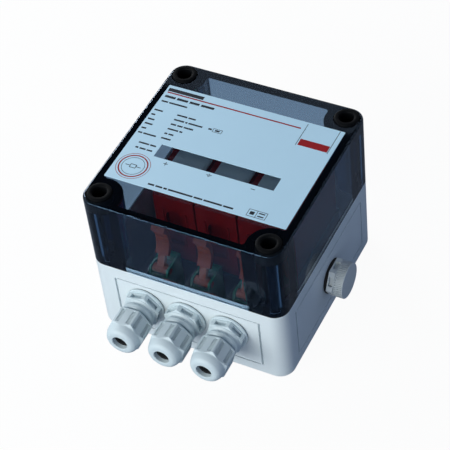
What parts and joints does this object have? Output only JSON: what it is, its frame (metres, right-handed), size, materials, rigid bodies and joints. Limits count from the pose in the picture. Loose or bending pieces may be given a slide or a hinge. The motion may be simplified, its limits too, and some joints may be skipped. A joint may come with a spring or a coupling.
{
  "type": "solar surge protection device",
  "caption": "Square wall box with a deep smoked clear lid over plug-in surge modules, cable glands in its front wall and a vent plug at its side.",
  "frame": {"origin": "middle of the box's underside", "axes": "+Z from the underside to the lid, -Y out of the wall with the cable glands, +X towards the vent plug"},
  "size_m": [0.103, 0.1186, 0.0798],
  "materials": {
    "housing_grey": "fine moulded texture",
    "smoked_cover": "clear smoked plastic, polished",
    "label_film": "printed film",
    "seal_foam": "soft foam",
    "seal_rubber": "matt rubber",
    "black_rubber": "matt rubber",
    "screw_steel": "zinc plated",
    "screw_black": "black nylon",
    "gland_plastic": "fine moulded texture",
    "vent_plastic": "fine moulded texture",
    "membrane_white": "matt film",
    "board_laminate": "green solder mask",
    "socket_black": "moulded black",
    "module_red": "moulded red",
    "plate_grey": "light grey print",
    "contact_brass": "tinned",
    "terminal_green": "moulded green",
    "lever_orange": "moulded orange",
    "clamp_steel": "spring steel"
  },
  "bodies": {
    "base": {"enclosure_base": "housing_grey", "lid_seal": "seal_foam", "gland_washer_1": "black_rubber", "gland_body_1": "gland_plastic", "gland_seal_1": "seal_rubber", "gland_lock_nut_1": "gland_plastic", "gland_washer_2": "black_rubber", "gland_body_2": "gland_plastic", "gland_seal_2": "seal_rubber", "gland_lock_nut_2": "gland_plastic", "gland_washer_3": "black_rubber", "gland_body_3": "gland_plastic", "gland_seal_3": "seal_rubber", "gland_lock_nut_3": "gland_plastic", "vent_seal": "black_rubber", "vent_body": "vent_plastic", "vent_membrane": "membrane_white", "vent_cap": "vent_plastic", "vent_lock_nut": "gland_plastic", "circuit_board": "board_laminate", "board_screws": "screw_steel", "module_socket": "socket_black", "surge_module_1": "module_red", "module_plate_1": "plate_grey", "module_blades_1": "contact_brass", "surge_module_2": "module_red", "module_plate_2": "plate_grey", "module_blades_2": "contact_brass", "surge_module_3": "module_red", "module_plate_3": "plate_grey", "module_blades_3": "contact_brass", "terminal_block_1": "terminal_green", "clamp_spring_1": "clamp_steel", "terminal_block_2": "terminal_green", "clamp_spring_2": "clamp_steel", "terminal_block_3": "terminal_green", "clamp_spring_3": "clamp_steel"},
    "lid": {"lid": "smoked_cover", "lid_label": "label_film"},
    "lid_screw_1": {"lid_screw_1": "screw_black"},
    "lid_screw_2": {"lid_screw_2": "screw_black"},
    "lid_screw_3": {"lid_screw_3": "screw_black"},
    "lid_screw_4": {"lid_screw_4": "screw_black"},
    "dome_nut_1": {"dome_nut_1": "gland_plastic"},
    "dome_nut_2": {"dome_nut_2": "gland_plastic"},
    "dome_nut_3": {"dome_nut_3": "gland_plastic"},
    "release_lever_1": {"release_lever_1": "lever_orange"},
    "release_lever_2": {"release_lever_2": "lever_orange"},
    "release_lever_3": {"release_lever_3": "lever_orange"}
  },
  "joints": [
    {"name": "lid_lift", "type": "slide", "parent": "base", "child": "lid", "axis": [0, 0, 1], "range_m": [0, 0.05]},
    {"name": "lid_screw_1_turn", "type": "hinge", "parent": "lid", "child": "lid_screw_1", "pos_m": [-0.0398, -0.0398, 0.0723], "axis": [0, 0, 1], "range_deg": [0, 2800]},
    {"name": "lid_screw_2_turn", "type": "hinge", "parent": "lid", "child": "lid_screw_2", "pos_m": [-0.0398, 0.0398, 0.0723], "axis": [0, 0, 1], "range_deg": [0, 2800]},
    {"name": "lid_screw_3_turn", "type": "hinge", "parent": "lid", "child": "lid_screw_3", "pos_m": [0.0398, -0.0398, 0.0723], "axis": [0, 0, 1], "range_deg": [0, 2800]},
    {"name": "lid_screw_4_turn", "type": "hinge", "parent": "lid", "child": "lid_screw_4", "pos_m": [0.0398, 0.0398, 0.0723], "axis": [0, 0, 1], "range_deg": [0, 2800]},
    {"name": "dome_nut_1_turn", "type": "hinge", "parent": "base", "child": "dome_nut_1", "pos_m": [-0.0211, -0.058, 0.0225], "axis": [0, -1, 0], "range_deg": [-336, 1900]},
    {"name": "dome_nut_2_turn", "type": "hinge", "parent": "base", "child": "dome_nut_2", "pos_m": [-0.0006, -0.058, 0.0225], "axis": [0, -1, 0], "range_deg": [-336, 1900]},
    {"name": "dome_nut_3_turn", "type": "hinge", "parent": "base", "child": "dome_nut_3", "pos_m": [0.0199, -0.058, 0.0225], "axis": [0, -1, 0], "range_deg": [-336, 1900]},
    {"name": "release_lever_1_press", "type": "hinge", "parent": "base", "child": "release_lever_1", "pos_m": [-0.0156, -0.0364, 0.0394], "axis": [-1, 0, 0], "range_deg": [0, 16], "stiffness_Nm_per_rad": 0.4, "springref_deg": -20.05},
    {"name": "release_lever_2_press", "type": "hinge", "parent": "base", "child": "release_lever_2", "pos_m": [0.0048, -0.0364, 0.0394], "axis": [-1, 0, 0], "range_deg": [0, 16], "stiffness_Nm_per_rad": 0.4, "springref_deg": -20.05},
    {"name": "release_lever_3_press", "type": "hinge", "parent": "base", "child": "release_lever_3", "pos_m": [0.0252, -0.0364, 0.0394], "axis": [-1, 0, 0], "range_deg": [0, 16], "stiffness_Nm_per_rad": 0.4, "springref_deg": -20.05}
  ]
}
